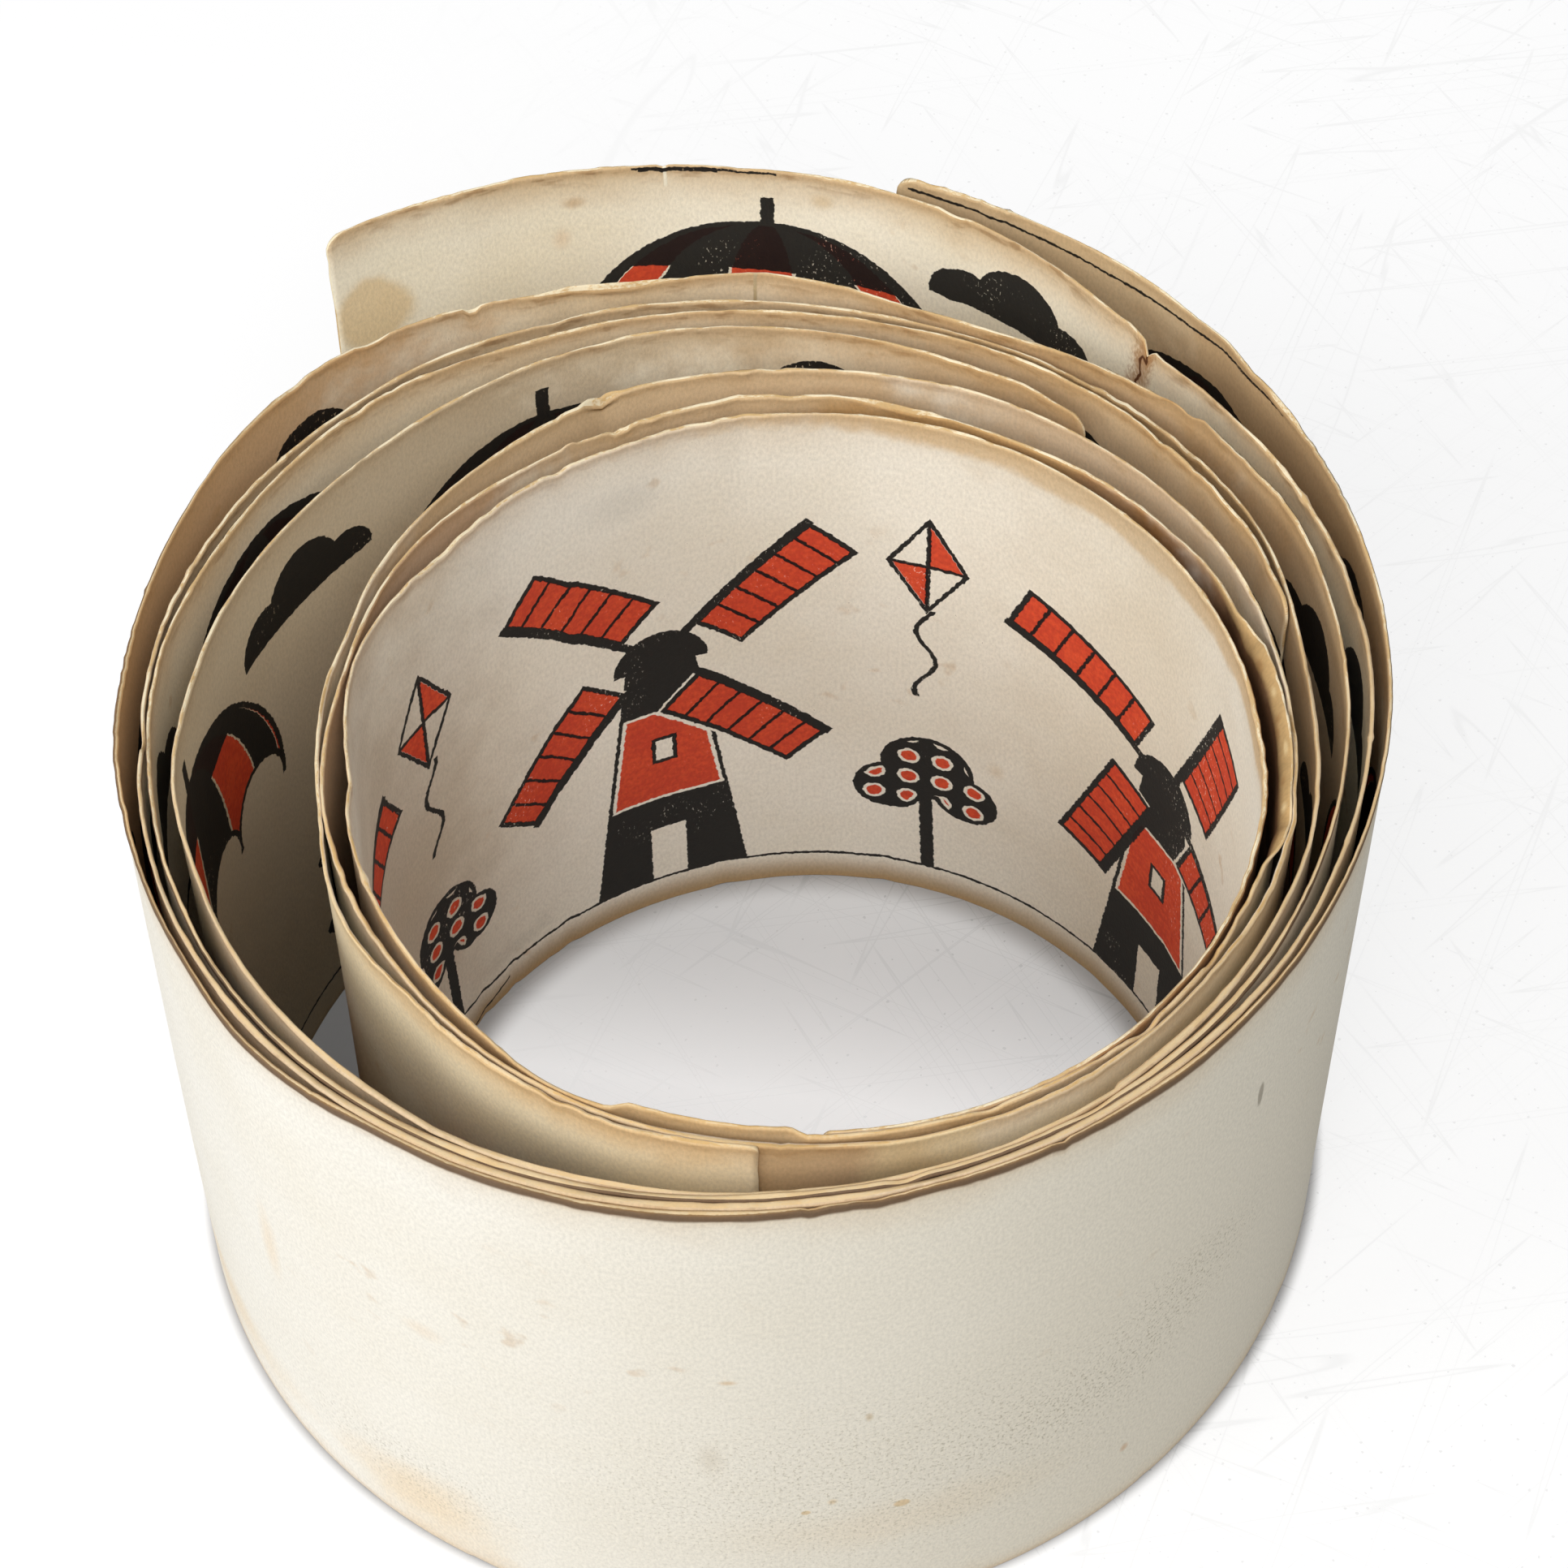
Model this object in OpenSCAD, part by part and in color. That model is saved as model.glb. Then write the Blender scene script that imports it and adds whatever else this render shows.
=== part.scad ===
// Three old picture strips for a zoetrope, rolled up together and standing on edge.
// Each strip is one long band of paper, wound two to three times round in the same
// direction. The inner strip lies close on itself. The middle and the outer strip
// are wound together, layer on layer, loosely round the inner one.

/* [Paper] */
// Height of a strip, from the edge that it stands on to its upper edge
strip_h = 90; // [60:1:140]
// Thickness of the paper
paper_t = 0.3; // [0.2:0.05:0.6]
// Free space between two layers where they lie closest
layer_gap = 0.55; // [0.45:0.05:1.5]
// Radius of the rounded corners at both ends of a strip
corner_r = 2.5; // [1:0.5:8]

/* [Inner strip] */
// Radius of the open middle of the roll
bore_r = 48; // [30:1:90]
// Direction of the inner end, in degrees, seen from above
inner_start = 271; // [200:1:340]
// Angle that the inner strip is wound through
inner_sweep = 1073; // [730:1:1430]

/* [Middle strip] */
// Direction of the inner end
middle_start = 55; // [20:1:120]
// Angle that the middle strip is wound through
middle_sweep = 791; // [540:1:1000]

/* [Outer strip] */
// Direction of the inner end
outer_start = 19; // [5:1:120]
// Angle that the outer strip is wound through
outer_sweep = 783; // [540:1:1000]

/* [Loose places] */
// Slack between the inner strip's first and second layer, at the back
slack = 1.6; // [0:0.1:5]
// Bulge of the inner strip's last layer, at the back
bulge = 3.9; // [0:0.1:10]
// Crescent between the inner strip and the strips round it, at the left
crescent = 13.4; // [0:0.1:30]
// Opening between the first two layers round the crescent, at the left
left_gap = 3.5; // [0:0.1:12]
// Opening spread over the layers at the right
right_gap = 2.3; // [0:0.1:8]
// Opening behind the first layers at the back right
back_right_gap = 3.4; // [0:0.1:12]
// Opening behind the first layers at the back left
back_left_gap = 5.1; // [0:0.1:12]
// Distance by which the loose outer ends spring open at the back
flare = 18.1; // [0:0.1:40]
// Distance by which the very last end stands off the layer inside it
end_gap = 3.3; // [0:0.1:12]

/* [Hidden] */

paper_colour = "wheat";
step_deg = 5;
pitch = paper_t + layer_gap;
inner_layers = ceil(inner_sweep / 360);

// A loose place: how far it opens, its direction, how narrow it is, the layer
// where it starts to open and the number of layers over which it does
inner_places = [
    [slack, 90, 0.5, 0.4, 0.9],
    [bulge, 80, 2, 1.5, 0.8]
];
roll_places = [
    [crescent, 170, 2, -1, 1],
    [left_gap, 140, 1.5, 0.9, 1],
    [back_right_gap, 35, 8, 1.6, 1],
    [right_gap, 5, 8, 1.9, 3],
    [back_left_gap, 130, 8, 2.4, 1],
    [flare, 105, 4, 3.7, 0.9],
    [end_gap, 65, 8, 4.3, 0.9]
];

function sum(v) = v * [for (x = v) 1];

function ease(x) = let (t = min(max(x, 0), 1)) t * t * (3 - 2 * t);

// How far one loose place has pushed out what lies in direction a, at a given layer
function pushed(place, a, layer) =
    place[0] * pow((1 + cos(a - place[1])) / 2, place[2]) * ease((layer - place[3]) / place[4]);

// Radius of the paper's middle in the inner coil, and in the roll round it. The radius
// only ever grows from layer to layer, so no two layers can meet.
function coil_r(a, layer) =
    bore_r + paper_t / 2 + pitch * layer + sum([for (p = inner_places) pushed(p, a, layer)]);
function roll_r(a, layer) =
    coil_r(a, inner_layers) + pitch * layer + sum([for (p = roll_places) pushed(p, a, layer)]);

function polar(r, a) = [r * cos(a), r * sin(a)];

// The paths of the three strips, seen from above, as functions of the winding angle.
// Round the inner coil, every turn holds a middle and an outer layer.
inner_path = function (a) polar(coil_r(a, (a + 360 - inner_start) / 360), a);
middle_path = function (a) polar(roll_r(a, 2 * a / 360), a);
outer_path = function (a) polar(roll_r(a, 1 + 2 * a / 360 - settled(a)), a);

// The outer strip starts a layer further in, close on the inner strip, and is back on
// its own layer where the middle strip comes in under it
function settled(a) = ease((middle_start - a) / max(middle_start - outer_start, step_deg));

function unit(v) = v / norm(v);
function heading(path, a) = unit(path(a + 0.5) - path(a - 0.5));
function left_of(v) = [-v.y, v.x];

// Winding angles at even steps from one end of a strip to the other
function stations(start, sweep) =
    let (n = ceil(sweep / step_deg)) [for (i = [0 : n]) start + sweep * i / n];

inner_angles = stations(inner_start - 360, inner_sweep);
middle_angles = stations(middle_start, middle_sweep);
outer_angles = stations(outer_start, outer_sweep);

function side(path, angles, offset) =
    [for (a = angles) path(a) + offset * left_of(heading(path, a))];
function reversed(v) = [for (i = [len(v) - 1 : -1 : 0]) v[i]];
function band(path, angles) =
    concat(side(path, angles, paper_t / 2), reversed(side(path, angles, -paper_t / 2)));

// The origin is the middle of the rectangle that the whole roll fits in
outline = concat(band(inner_path, inner_angles), band(middle_path, middle_angles),
    band(outer_path, outer_angles));
low = [min([for (p = outline) p.x]), min([for (p = outline) p.y])];
high = [max([for (p = outline) p.x]), max([for (p = outline) p.y])];
roll_axis = -(low + high) / 2;

// Least free space between layers, from every station to every stretch between two
// stations. Half a turn further along, the same strip counts as another layer.
function line(path, angles) = [for (a = angles) path(a)];
inner_line = line(inner_path, inner_angles);
middle_line = line(middle_path, middle_angles);
outer_line = line(outer_path, outer_angles);
half_turn = 180 / step_deg;

function from_stretch(p, a, along) =
    norm(p - a - min(max((p - a) * along / (along * along), 0), 1) * along);
function least_distance(points, other, skip) = min([
    for (i = [1 : len(other) - 1])
        let (start = other[i - 1], along = other[i] - start)
        for (j = [0 : len(points) - 1]) if (abs(i - j) > skip) from_stretch(points[j], start, along)
]);
least_gap = min([
    least_distance(inner_line, inner_line, half_turn),
    least_distance(middle_line, middle_line, half_turn),
    least_distance(outer_line, outer_line, half_turn),
    least_distance(inner_line, middle_line, -1),
    least_distance(inner_line, outer_line, -1),
    least_distance(middle_line, outer_line, -1)
]) - paper_t;

function length_of(line) = sum([for (i = [1 : len(line) - 1]) norm(line[i] - line[i - 1])]);

echo(roll_size = high - low, roll_axis = roll_axis);
echo(least_gap_between_layers = least_gap);
echo(strip_lengths = [length_of(inner_line), length_of(middle_line), length_of(outer_line)]);

// What is cut away to round one corner of a strip's end. The end faces +X here.
module corner_waste() {
    reach = paper_t + layer_gap;
    difference() {
        translate([-corner_r, -reach / 2, -corner_r])
            cube([2 * corner_r, reach, 2 * corner_r]);
        translate([-corner_r, 0, -corner_r])
            rotate([90, 0, 0])
                cylinder(r = corner_r, h = 2 * reach, center = true, $fn = 48);
    }
}

// Both corners at one end of a strip, which points along the direction out
module end_waste(place, out) {
    translate(place) rotate([0, 0, atan2(out.y, out.x)]) {
        translate([0, 0, strip_h]) corner_waste();
        mirror([0, 0, 1]) corner_waste();
    }
}

module strip(path, angles) {
    first = angles[0];
    last = angles[len(angles) - 1];
    translate(roll_axis) difference() {
        linear_extrude(strip_h) polygon(band(path, angles));
        end_waste(path(first), -heading(path, first));
        end_waste(path(last), heading(path, last));
    }
}

module inner_strip() {
    color(paper_colour) strip(inner_path, inner_angles);
}

module middle_strip() {
    color(paper_colour) strip(middle_path, middle_angles);
}

module outer_strip() {
    color(paper_colour) strip(outer_path, outer_angles);
}

inner_strip();
middle_strip();
outer_strip();
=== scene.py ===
"""Rolled zoetrope picture strips: worn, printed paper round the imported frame."""
import math

import bpy
import numpy as np
from mathutils import Matrix


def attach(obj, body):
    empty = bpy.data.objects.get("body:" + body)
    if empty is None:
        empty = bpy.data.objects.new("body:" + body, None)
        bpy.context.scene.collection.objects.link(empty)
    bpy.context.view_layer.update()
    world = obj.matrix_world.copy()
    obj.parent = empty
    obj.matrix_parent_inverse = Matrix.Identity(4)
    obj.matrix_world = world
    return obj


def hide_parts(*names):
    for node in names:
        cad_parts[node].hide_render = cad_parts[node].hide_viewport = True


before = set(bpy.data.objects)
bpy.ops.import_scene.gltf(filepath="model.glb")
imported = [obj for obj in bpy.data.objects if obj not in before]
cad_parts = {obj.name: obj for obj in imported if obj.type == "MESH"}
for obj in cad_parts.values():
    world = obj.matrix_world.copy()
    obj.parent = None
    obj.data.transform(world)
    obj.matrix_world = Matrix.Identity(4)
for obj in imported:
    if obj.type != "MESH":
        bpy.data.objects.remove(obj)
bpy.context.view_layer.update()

MM = 0.001

# Sizes of the roll, in millimetres and degrees, as in the part
STRIP_H = 90.0
PAPER_T = 0.3
LAYER_GAP = 0.55
BORE_R = 48.0
PITCH = PAPER_T + LAYER_GAP
INNER_START, INNER_SWEEP = 271.0, 1073.0
MIDDLE_START, MIDDLE_SWEEP = 55.0, 791.0
OUTER_START, OUTER_SWEEP = 19.0, 783.0
STEP_DEG = 5.0
INNER_LAYERS = math.ceil(INNER_SWEEP / 360)

# A loose place: how far it opens, its direction, how narrow it is, the layer
# where it starts to open and the number of layers over which it does, as in the part
INNER_PLACES = [(1.6, 90, 0.5, 0.4, 0.9), (3.9, 80, 2, 1.5, 0.8)]
ROLL_PLACES = [
    (13.4, 170, 2, -1, 1),
    (3.5, 140, 1.5, 0.9, 1),
    (3.4, 35, 8, 1.6, 1),
    (2.3, 5, 8, 1.9, 3),
    (5.1, 130, 8, 2.4, 1),
    (18.1, 105, 4, 3.7, 0.9),
    (3.3, 65, 8, 4.3, 0.9),
]


def ease(x):
    t = np.clip(x, 0, 1)
    return t * t * (3 - 2 * t)


def cosd(a):
    return np.cos(np.radians(a))


def pushed(place, a, layer):
    reach, direction, narrow, first, over = place
    return reach * ((1 + cosd(a - direction)) / 2) ** narrow * ease((layer - first) / over)


def coil_r(a, layer):
    return BORE_R + PAPER_T / 2 + PITCH * layer + sum(pushed(p, a, layer) for p in INNER_PLACES)


def roll_r(a, layer):
    return coil_r(a, INNER_LAYERS) + PITCH * layer + sum(pushed(p, a, layer) for p in ROLL_PLACES)


def inner_r(a):
    return coil_r(a, (a + 360 - INNER_START) / 360)


def middle_r(a):
    return roll_r(a, a / 180)


def outer_r(a):
    settled = ease((MIDDLE_START - a) / max(MIDDLE_START - OUTER_START, STEP_DEG))
    return roll_r(a, 1 + a / 180 - settled)


# Name of each strip: its radius by winding angle, where it starts and how far it winds
COILS = {
    "inner_strip": (inner_r, INNER_START - 360, INNER_SWEEP),
    "middle_strip": (middle_r, MIDDLE_START, MIDDLE_SWEEP),
    "outer_strip": (outer_r, OUTER_START, OUTER_SWEEP),
}


def point(radius, a):
    r = radius(a)
    return np.stack([r * cosd(a), r * np.sin(np.radians(a))], -1)


def roll_axis():
    """Where the winding axis stands, when the origin is the middle of the whole roll."""
    low, high = np.full(2, np.inf), np.full(2, -np.inf)
    for radius, start, sweep in COILS.values():
        a = np.linspace(start, start + sweep, math.ceil(sweep / STEP_DEG) + 1)
        ahead = point(radius, a + 0.5) - point(radius, a - 0.5)
        ahead /= np.linalg.norm(ahead, axis=1)[:, None]
        across = np.stack([-ahead[:, 1], ahead[:, 0]], -1)
        for side in (-PAPER_T / 2, PAPER_T / 2):
            line = point(radius, a) + side * across
            low, high = np.minimum(low, line.min(0)), np.maximum(high, line.max(0))
    return -(low + high) / 2


AXIS = roll_axis()


# Bends of single layers: winding angle, half width in degrees, push outwards at the
# upper edge and at the lower edge
BENDS = {
    "inner_strip": [
        (-30, 45, 0.9, 0.3), (15, 35, 0.5, 0.2), (110, 55, -0.7, -0.2), (164, 18, 1.6, 0.4),
        (215, 26, -0.65, -0.2), (238, 11, 0.4, 0.1), (-62, 22, 0.25, 0.1), (358, 26, 0.25, 0.2),
        (387, 12, 0.6, 0.2), (425, 25, -0.8, 0.0), (472, 22, -0.4, 0.0), (508, 22, 1.0, 0.2),
        (549, 26, 0.7, 0.2), (652, 14, -0.2, 0.0), (700, 16, 0.5, 0.2), (735, 18, -0.5, 0.0),
        (778, 45, -0.7, -0.2), (810, 20, -0.3, 0.0), (832, 10, 0.5, 0.0), (881, 9, -0.5, 0.0),
        (923, 16, 1.2, 0.0), (984, 16, -0.4, -0.25),
    ],
    "middle_strip": [
        (138, 34, -1.6, -0.4), (182, 14, 1.0, 0.2), (370, 24, -1.2, -0.3), (440, 50, -0.35, -0.1),
        (478, 14, -0.6, 0.0), (503, 26, -1.5, -0.4), (530, 24, -0.8, -0.2), (740, 30, 0.8, 0.2),
        (796, 20, 1.7, 0.4), (825, 14, -0.4, 0.0), (848, 14, 1.6, 0.2),
    ],
    "outer_strip": [
        (35, 55, 2.6, 0.8), (75, 30, 0.7, 0.2), (118, 14, -0.8, 0.0), (150, 18, -0.5, 0.0),
        (170, 14, 0.3, 0.0), (398, 30, 1.1, 0.3), (432, 14, -0.7, 0.0), (467, 14, -0.8, 0.0),
        (493, 20, 1.2, 0.3), (524, 20, -0.8, 0.0), (574, 14, 0.7, 0.0), (615, 26, 0.5, 0.0),
        (755, 60, 0.6, 0.2), (780, 14, 0.4, 0.1),
    ],
}
# Sharp folds that fade out downwards: winding angle, half width in degrees, push outwards
FOLDS = {
    "inner_strip": [(184, 5, -0.4), (98, 4, 0.3), (458, 4, 0.4), (349, 4, 0.3), (333, 3, -0.2),
                    (313, 4, 0.4), (834, 3, 0.4), (709, 4, 0.4)],
    "middle_strip": [(773, 5, -0.7), (778, 4, 0.3), (538, 4, -0.4), (64, 5, 0.3)],
    "outer_strip": [(453, 13, 1.3), (405, 3, 0.4), (471, 3, 0.3), (770, 4, 0.4), (30, 5, 0.3)],
}
# Rims that curl outwards, or inwards where the push is negative: winding angle, half width
# in degrees, push and depth in mm
CURLS = {
    "inner_strip": [(361, 20, 1.3, 2.2), (257.5, 12.5, -1.1, 60.0)],
    "middle_strip": [(268, 46, 0.32, 12.0)],
    "outer_strip": [(634, 40, -0.2, 12.0)],
}
# Where rims are worn so thick that they nearly touch: winding angle, half width in degrees
PRESSED = {
    "inner_strip": [(984, 20), (626, 16)],
    "middle_strip": [(266, 70), (626, 70)],
    "outer_strip": [(270, 70), (630, 70)],
}
# Stretches with a lower upper edge: winding angle, half width in degrees, drop in mm
LOW_RIMS = {
    "inner_strip": [(440, 30, 0.3)],
    "middle_strip": [(425, 60, 0.8), (770, 14, 0.5)],
    "outer_strip": [(520, 30, 0.3)],
}
# Bits torn off or standing up at the upper edge: winding angle, half width in mm, change
# of height of the inside face and of the outside face in mm
EDGE_MARKS = {
    "inner_strip": [(151, 1.2, 0.4, 0.1), (529, 1.6, 0.5, 0.1), (481, 1.1, 0.6, 0.2),
                    (474, 1.8, -0.5, -0.1), (834, 2.4, -0.8, 0.1),
                    (377, 1.6, -0.8, -0.7), (370, 0.6, -0.3, -0.1), (365, 0.9, 0.2, -0.3),
                    (358, 0.7, -0.4, -0.1), (353, 1.0, 0.2, -0.2), (349, 1.5, -0.7, -0.4),
                    (338, 1.2, 0.4, 0.2), (326, 1.5, -0.6, -0.5), (313, 1.8, -0.5, -0.7),
                    (437, 6.0, -0.6, 0.2), (184, 0.8, -0.6, -0.4), (724, 2.5, -0.9, -0.6)],
    "middle_strip": [(775, 0.7, -1.8, -1.8), (538, 1.5, -1.2, -0.9), (820, 0.5, -0.3, -0.3),
                     (797, 2.0, -0.3, -0.3), (140, 1.0, 0.3, 0.1), (404, 2.0, -0.5, -0.3)],
    "outer_strip": [(468, 9.0, -0.25, 0.3), (407, 5.0, 0.6, -0.1), (480, 1.2, -0.9, -0.5),
                    (489, 1.5, -0.5, -0.4), (761, 4.0, -0.3, 0.1), (794, 1.5, -0.3, -0.2),
                    (178, 1.2, -0.5, -0.2), (630, 1.2, -0.4, -0.3)],
}


FOLD_SHARP, FOLD_FADE = 1.2, 4  # how sharp a fold is, and how fast it fades downwards
CURL_SHARP, CURL_ENDS = 1.25, 4  # how sharply a curl turns, and how abruptly it ends sideways


def bump(x, half):
    """A smooth hump, 1 high at 0 and 0 from half on."""
    t = np.clip(np.abs(x) / half, 0, 1)
    return (1 - t * t) ** 2


def bent(name, a, part):
    """How far a layer is bent outwards at winding angles a, part of the way up."""
    out = np.zeros(np.broadcast(a, part).shape)
    for where, half, high, low in BENDS[name]:
        out += bump(a - where, half) * (low + (high - low) * part)
    for where, half, high in FOLDS[name]:
        ridge = np.clip(1 - np.abs(a - where) / half, 0, 1) ** FOLD_SHARP
        out += high * ridge * part**FOLD_FADE
    for where, half, high, depth in CURLS[name]:
        turned = np.clip(1 - (1 - part) * STRIP_H / depth, 0, 1) ** CURL_SHARP
        out += high * ease(CURL_ENDS * (1 - np.abs(a - where) / half)) * turned
    return out


MOST_TURNS = 4  # no strip has more turns
LEAST_ROOM, MOST_ROOM_IN, MOST_ROOM_OUT = 0.02, 6.0, 3.0  # limits on the free space, in mm


def free_room(name, a, part):
    """Free space inwards and outwards of one bent strip, at winding angles a."""
    own_r = COILS[name][0](a) + bent(name, a, part)
    inwards, outwards = np.full(len(a), MOST_ROOM_IN), np.full(len(a), MOST_ROOM_OUT)
    for other, (radius, start, sweep) in COILS.items():
        for turn in range(-MOST_TURNS, MOST_TURNS + 1):
            if other == name and turn == 0:
                continue
            b = a + 360 * turn
            gap = radius(b) - COILS[name][0](a)
            real = radius(b) + bent(other, b, part) - own_r
            real = np.where((b >= start) & (b <= start + sweep), real, np.nan)
            outwards = np.fmin(outwards, np.where(gap > 0, real - PAPER_T, np.nan))
            inwards = np.fmin(inwards, np.where(gap < 0, -real - PAPER_T, np.nan))
    return np.maximum(inwards, LEAST_ROOM), np.maximum(outwards, LEAST_ROOM)


# Winding angles of each strip, close together, and how far along the paper they are in mm
TRACK_POINTS = 8000
TRACKS = {}
for _name, (_radius, _start, _sweep) in COILS.items():
    _fine = np.linspace(_start, _start + _sweep, TRACK_POINTS)
    _step = np.linalg.norm(np.diff(point(_radius, _fine), axis=0), axis=1)
    TRACKS[_name] = (_fine, np.r_[0, np.cumsum(_step)])


def along_at(name, a):
    """How far along a strip its winding angle a is, in mm."""
    return float(np.interp(a, *TRACKS[name]))


def waves(rng, count, longest, shortest):
    """A smooth random curve along a strip, about -1 to 1, as a function."""
    length = longest * (shortest / longest) ** rng.random(count)
    phase = rng.random(count) * 2 * np.pi
    weight = (length / longest) ** 0.5
    weight /= np.sqrt((weight**2).sum())

    def curve(x):
        return sum(w * np.sin(2 * np.pi * x / n + p) for w, n, p in zip(weight, length, phase))

    return curve


def jagged(rng, length, step):
    """A rough random curve along a strip, -1 to 1, with a new value every step."""
    margin = 10
    knots = np.arange(-margin, length + margin, step)
    values = rng.random(len(knots)) * 2 - 1
    return lambda x: np.interp(x, knots, values)


def nicks(rng, length, spacing, deepest, widest):
    """Small chips along an edge: how deep the edge is worn, as a function."""
    count = int(length / spacing)
    at = rng.random(count) * length
    deep = deepest * rng.random(count) ** 3
    wide = widest * (0.25 + 0.75 * rng.random(count))

    def worn(x):
        out = np.zeros_like(x)
        for p, d, w in zip(at, deep, wide):
            out = np.maximum(out, d * np.clip(1.2 - np.abs(x - p) / w, 0, 1))
        return out

    return worn


# Rows of points up a strip's face, closer near both edges
ROWS = np.array(
    [0, 0.12, 0.35, 0.7, 1.2, 1.9, 2.7, 4, 6, 9, 13, 18, 24, 30, 36, 42, 48, 54, 60, 66, 71,
     75, 78.5, 81.5, 84, 86, 87.4, 88.3, 88.9, 89.35, 89.65, 89.88, 90]
)
# The cross-section is one ring of points: up the inside, over the top, down the outside.
# How far up each point is, from 0 to 1, and on which face: 1 inside, -1 outside, 0 between
RISE = np.r_[ROWS, STRIP_H, ROWS[::-1], 0] / STRIP_H
SIDE = np.r_[np.ones(len(ROWS)), 0, -np.ones(len(ROWS)), 0]
HEIGHT = RISE * STRIP_H
RING = len(RISE)
TOP, LOW = len(ROWS), RING - 1  # the points between the faces, at the upper and lower edge

COLUMN = 0.75  # distance between columns along a strip
ENDS_EASE = 6.0  # how far an end's rounded corners draw the columns along
END_WEAR = 0.12  # how far the cut ends are worn away
TOUCH = 0.44  # share of the free space that a thick worn rim fills on its side
RIM_PUFF = 0.2  # how much thicker the worn upper edge is
RIM_FROM, RIM_RISE = 88.8, 0.9  # height where that starts, and over which it grows
# Radius of the rounded corners at each strip's first and last end, worn smaller
CORNERS = {"inner_strip": (1.4, 0.7), "middle_strip": (2.5, 2.5), "outer_strip": (2.5, 2.5)}

OUTSIDE_AT = 200.0  # how far up the outside face lies in the flat place, in mm
UV_MM = 100  # millimetres of paper to one unit of the flat place
BAKE_CHUNKS = 5  # a strip's stretches, one above the other, in the map for baking
BAKE_MARGIN = 2.0


def edges(name, rng, s, turn):
    """The edges of a strip at places s along it: how ragged they are, how far the upper and
    the lower edge are worn, and how much higher the inner face's upper edge is."""
    length = s[-1]
    ragged = ease(waves(rng, 5, 150, 40)(s))
    top = 0.13 * waves(rng, 7, 200, 40)(s) + (0.02 + 0.06 * ragged) * jagged(rng, length, 0.9)(s)
    top = -0.03 + top - (0.25 + 0.75 * ragged) * nicks(rng, length, 7, 0.8, 2.2)(s)
    for where, half, drop in LOW_RIMS[name]:
        top -= drop * bump(turn - where, half)
    low = 0.12 + 0.1 * waves(rng, 7, 160, 30)(s) + 0.04 * jagged(rng, length, 1.1)(s)
    low = np.maximum(low, 0.02) + nicks(rng, length, 9, 0.7, 1.8)(s)
    split = 0.08 * waves(rng, 9, 60, 9)(s)
    for where, half, inner_rise, outer_rise in EDGE_MARKS[name]:
        mark = np.clip(1.8 * (1 - np.abs(s - along_at(name, where)) / half), 0, 1)
        top += mark * (inner_rise + outer_rise) / 2
        split += mark * (inner_rise - outer_rise) / 2
    return ragged, top, low, split


def heights(rng, s, top, low, split):
    """How high each point of the mesh is."""
    z = low[:, None] + RISE * (STRIP_H + top - low)[:, None]
    z = z + SIDE * split[:, None] * (RISE > 0.99)
    z[:, TOP] += 0.05 + 0.05 * jagged(rng, s[-1], 0.6)(s)
    z[:, LOW] -= 0.03
    return z


def places_along(name, rng, s):
    """How far along the strip each point of the mesh is. Rounded corners and a little wear
    at both ends draw the columns in."""
    near = np.minimum(HEIGHT, STRIP_H - HEIGHT)

    def end_cut(worn, corner):
        inside = np.clip(corner - near, 0, corner)
        return corner - np.sqrt(corner**2 - inside**2) + END_WEAR + END_WEAR * worn(HEIGHT)

    wear = [jagged(rng, STRIP_H, 3.0), jagged(rng, STRIP_H, 3.0)]
    first, last = (end_cut(w, c) for w, c in zip(wear, CORNERS[name]))
    along = s[:, None] + np.exp(-s[:, None] / ENDS_EASE) * first
    return along - np.exp(-(s[-1] - s[:, None]) / ENDS_EASE) * last


def rooms(name, a):
    """Free space inwards and outwards of each point of the mesh."""
    fine = TRACKS[name][0]
    return [
        np.interp(a, fine, at_low) * (1 - RISE) + np.interp(a, fine, at_high) * RISE
        for at_low, at_high in zip(free_room(name, fine, 0.0), free_room(name, fine, 1.0))
    ]


def pushes(name, rng, along, a, rough, pressed, inwards, outwards):
    """How far each point of the mesh stands outwards of the winding."""
    push = 0.1 * waves(rng, 7, 240, 70)(along + 0.5 * HEIGHT)
    push += ease((HEIGHT - 20) / 70) * 0.1 * waves(rng, 9, 120, 32)(along)
    push += ease((HEIGHT - 70) / 20) * 0.1 * rough * waves(rng, 9, 34, 10)(along)
    push += ease((HEIGHT - 88.6) / 1.2) * 0.06 * rough * waves(rng, 9, 6, 2)(along)
    limit = 0.36 * np.where(push > 0, outwards, inwards)
    push = limit * np.tanh(push / limit) * (1 - 0.9 * pressed)
    push += bent(name, a, RISE)
    lean = 0.25 * np.sin(np.radians(2 * a + 30)) + 0.2 * np.sin(np.radians(3 * a - 70))
    return push + lean * (1 - ease(RISE))


def half_thickness(rng, s, ragged, pressed, inwards, outwards):
    """Half the paper's thickness at each point of the mesh, more along the worn rim."""
    puff = RIM_PUFF * (0.7 + 0.6 * ragged) + nicks(rng, s[-1], 16, 0.5, 1.2)(s)
    puff = np.minimum(puff[:, None], 0.06 + 0.3 * np.minimum(inwards, outwards)) / 2
    near = np.where(SIDE > 0, inwards, outwards)
    near = np.where(near > 2.5, 0, near)  # nothing close by on that side
    puff = puff + pressed * np.clip(TOUCH * near - puff, 0, 0.3)
    half = PAPER_T / 2 + puff * ease((HEIGHT - RIM_FROM) / RIM_RISE)
    return half * (1 - 0.45 * (RISE > 0.9995) * (np.abs(SIDE) > 0))


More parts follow.
